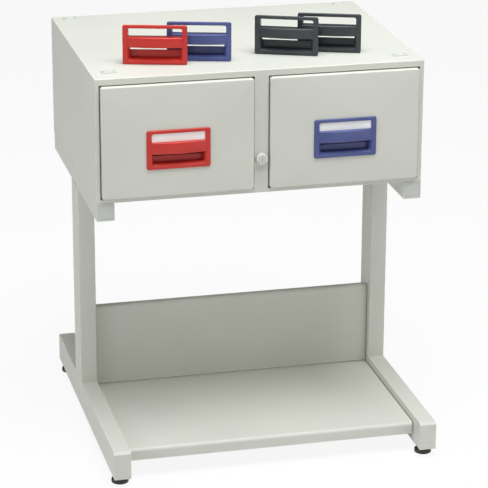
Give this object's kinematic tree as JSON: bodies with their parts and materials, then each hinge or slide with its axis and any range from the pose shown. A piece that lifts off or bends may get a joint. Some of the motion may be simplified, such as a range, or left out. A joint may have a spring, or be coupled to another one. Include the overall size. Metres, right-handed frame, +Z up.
{
  "type": "two-drawer card index cabinet on stand",
  "caption": "Steel card index cabinet with side-by-side drawers on a C-frame stand with lower shelf, central lock, clip-in label handles and loose spare handles.",
  "frame": {"origin": "on the floor, under the middle of the rectangle that the stand and cabinet cover", "axes": "+Z up, +X to the right as seen from the front, -Y out of the drawer fronts"},
  "size_m": [0.77, 0.76, 1.014],
  "materials": {
    "cabinet_paint": "fine powder coat, light grey, satin",
    "stand_paint": "fine powder coat, light grey, satin",
    "grey_plastic": "moulded, matt",
    "black_plastic": "moulded, matt",
    "red_plastic": "moulded, semi-gloss, fine grain",
    "blue_plastic": "moulded, semi-gloss, fine grain",
    "anthracite_plastic": "moulded, semi-gloss, fine grain",
    "label_paper": "plain white card",
    "lock_grey": "moulded, satin",
    "lock_metal": "nickel plated, satin",
    "zinc_steel": "bright zinc plated"
  },
  "bodies": {
    "root": {"carcass_shell": "cabinet_paint", "bottom_panel": "cabinet_paint", "back_panel": "cabinet_paint", "partition_left": "cabinet_paint", "partition_right": "cabinet_paint", "slide_mounting_channels": "cabinet_paint", "stacking_pads": "grey_plastic", "top_beam_left": "stand_paint", "top_beam_right": "stand_paint", "beam_end_caps": "grey_plastic", "beam_bolts": "zinc_steel", "beam_nuts": "zinc_steel", "upright_left": "stand_paint", "upright_right": "stand_paint", "foot_beam_left": "stand_paint", "foot_beam_right": "stand_paint", "foot_end_caps": "grey_plastic", "levelling_nuts": "zinc_steel", "base_shelf": "stand_paint", "rear_panel": "stand_paint", "shelf_screws": "zinc_steel", "rear_panel_screws": "zinc_steel", "spacer_washers": "zinc_steel", "slide_cabinet_members_left": "zinc_steel", "slide_cabinet_members_right": "zinc_steel", "lock_housing": "lock_grey", "lock_nut": "zinc_steel", "lock_bar_guides": "zinc_steel"},
    "lock_key_body": {"lock_cylinder": "lock_metal", "lock_cam": "zinc_steel"},
    "lock_bar_body": {"lock_bar": "zinc_steel"},
    "drawer_left": {"drawer_tray_left": "cabinet_paint", "drawer_front_left": "cabinet_paint", "drawer_inner_front_left": "cabinet_paint", "handle_left": "red_plastic", "label_card_left": "label_paper", "slide_drawer_members_left": "zinc_steel", "lock_catch_left": "zinc_steel"},
    "slide_middle_left": {"slide_middle_members_left": "zinc_steel"},
    "cages_outer_left": {"ball_cages_outer_left": "zinc_steel"},
    "cages_inner_left": {"ball_cages_inner_left": "zinc_steel"},
    "drawer_right": {"drawer_tray_right": "cabinet_paint", "drawer_front_right": "cabinet_paint", "drawer_inner_front_right": "cabinet_paint", "handle_right": "blue_plastic", "label_card_right": "label_paper", "slide_drawer_members_right": "zinc_steel", "lock_catch_right": "zinc_steel"},
    "slide_middle_right": {"slide_middle_members_right": "zinc_steel"},
    "cages_outer_right": {"ball_cages_outer_right": "zinc_steel"},
    "cages_inner_right": {"ball_cages_inner_right": "zinc_steel"},
    "spare_red": {"spare_handle_red": "red_plastic"},
    "spare_blue": {"spare_handle_blue": "blue_plastic"},
    "spare_black_front": {"spare_handle_black_front": "anthracite_plastic"},
    "spare_black_rear": {"spare_handle_black_rear": "anthracite_plastic"},
    "foot_front_left": {"levelling_foot_front_left": "black_plastic"},
    "foot_back_left": {"levelling_foot_back_left": "black_plastic"},
    "foot_front_right": {"levelling_foot_front_right": "black_plastic"},
    "foot_back_right": {"levelling_foot_back_right": "black_plastic"}
  },
  "joints": [
    {"name": "drawer_left_slide", "type": "slide", "parent": "root", "child": "drawer_left", "axis": [0, -1, 0], "range_m": [0, 0.5]},
    {"name": "slide_middle_left_travel", "type": "slide", "parent": "root", "child": "slide_middle_left", "axis": [0, -1, 0], "range_m": [0, 0.25]},
    {"name": "cages_outer_left_travel", "type": "slide", "parent": "root", "child": "cages_outer_left", "axis": [0, -1, 0], "range_m": [0, 0.125]},
    {"name": "cages_inner_left_travel", "type": "slide", "parent": "root", "child": "cages_inner_left", "axis": [0, -1, 0], "range_m": [0, 0.375]},
    {"name": "drawer_right_slide", "type": "slide", "parent": "root", "child": "drawer_right", "axis": [0, -1, 0], "range_m": [0, 0.5]},
    {"name": "slide_middle_right_travel", "type": "slide", "parent": "root", "child": "slide_middle_right", "axis": [0, -1, 0], "range_m": [0, 0.25]},
    {"name": "cages_outer_right_travel", "type": "slide", "parent": "root", "child": "cages_outer_right", "axis": [0, -1, 0], "range_m": [0, 0.125]},
    {"name": "cages_inner_right_travel", "type": "slide", "parent": "root", "child": "cages_inner_right", "axis": [0, -1, 0], "range_m": [0, 0.375]},
    {"name": "lock_turn", "type": "hinge", "parent": "root", "child": "lock_key_body", "pos_m": [0, -0.21, 0.712], "axis": [0, -1, 0], "range_deg": [0, 90]},
    {"name": "lock_bar_lift", "type": "slide", "parent": "root", "child": "lock_bar_body", "axis": [0, 0, 1], "range_m": [0, 0.01132]},
    {"name": "spare_red_lift", "type": "slide", "parent": "root", "child": "spare_red", "axis": [0, 0, 1], "range_m": [0, 0.12]},
    {"name": "spare_blue_lift", "type": "slide", "parent": "root", "child": "spare_blue", "axis": [0, 0, 1], "range_m": [0, 0.12]},
    {"name": "spare_black_front_lift", "type": "slide", "parent": "root", "child": "spare_black_front", "axis": [0, 0, 1], "range_m": [0, 0.12]},
    {"name": "spare_black_rear_lift", "type": "slide", "parent": "root", "child": "spare_black_rear", "axis": [0, 0, 1], "range_m": [0, 0.12]},
    {"name": "foot_front_left_turn", "type": "hinge", "parent": "root", "child": "foot_front_left", "pos_m": [-0.365, -0.344, 0], "axis": [0, 0, 1], "continuous": true},
    {"name": "foot_back_left_turn", "type": "hinge", "parent": "root", "child": "foot_back_left", "pos_m": [-0.365, 0.342, 0], "axis": [0, 0, 1], "continuous": true},
    {"name": "foot_front_right_turn", "type": "hinge", "parent": "root", "child": "foot_front_right", "pos_m": [0.365, -0.344, 0], "axis": [0, 0, 1], "continuous": true},
    {"name": "foot_back_right_turn", "type": "hinge", "parent": "root", "child": "foot_back_right", "pos_m": [0.365, 0.342, 0], "axis": [0, 0, 1], "continuous": true}
  ],
  "couplings": [
    {"joint": "slide_middle_left_travel", "follows": "drawer_left_slide", "ratio": 0.5},
    {"joint": "cages_outer_left_travel", "follows": "drawer_left_slide", "ratio": 0.25},
    {"joint": "cages_inner_left_travel", "follows": "drawer_left_slide", "ratio": 0.75},
    {"joint": "slide_middle_right_travel", "follows": "drawer_right_slide", "ratio": 0.5},
    {"joint": "cages_outer_right_travel", "follows": "drawer_right_slide", "ratio": 0.25},
    {"joint": "cages_inner_right_travel", "follows": "drawer_right_slide", "ratio": 0.75},
    {"joint": "lock_turn", "follows": "lock_bar_lift", "rad_per_m": 138.76}
  ]
}
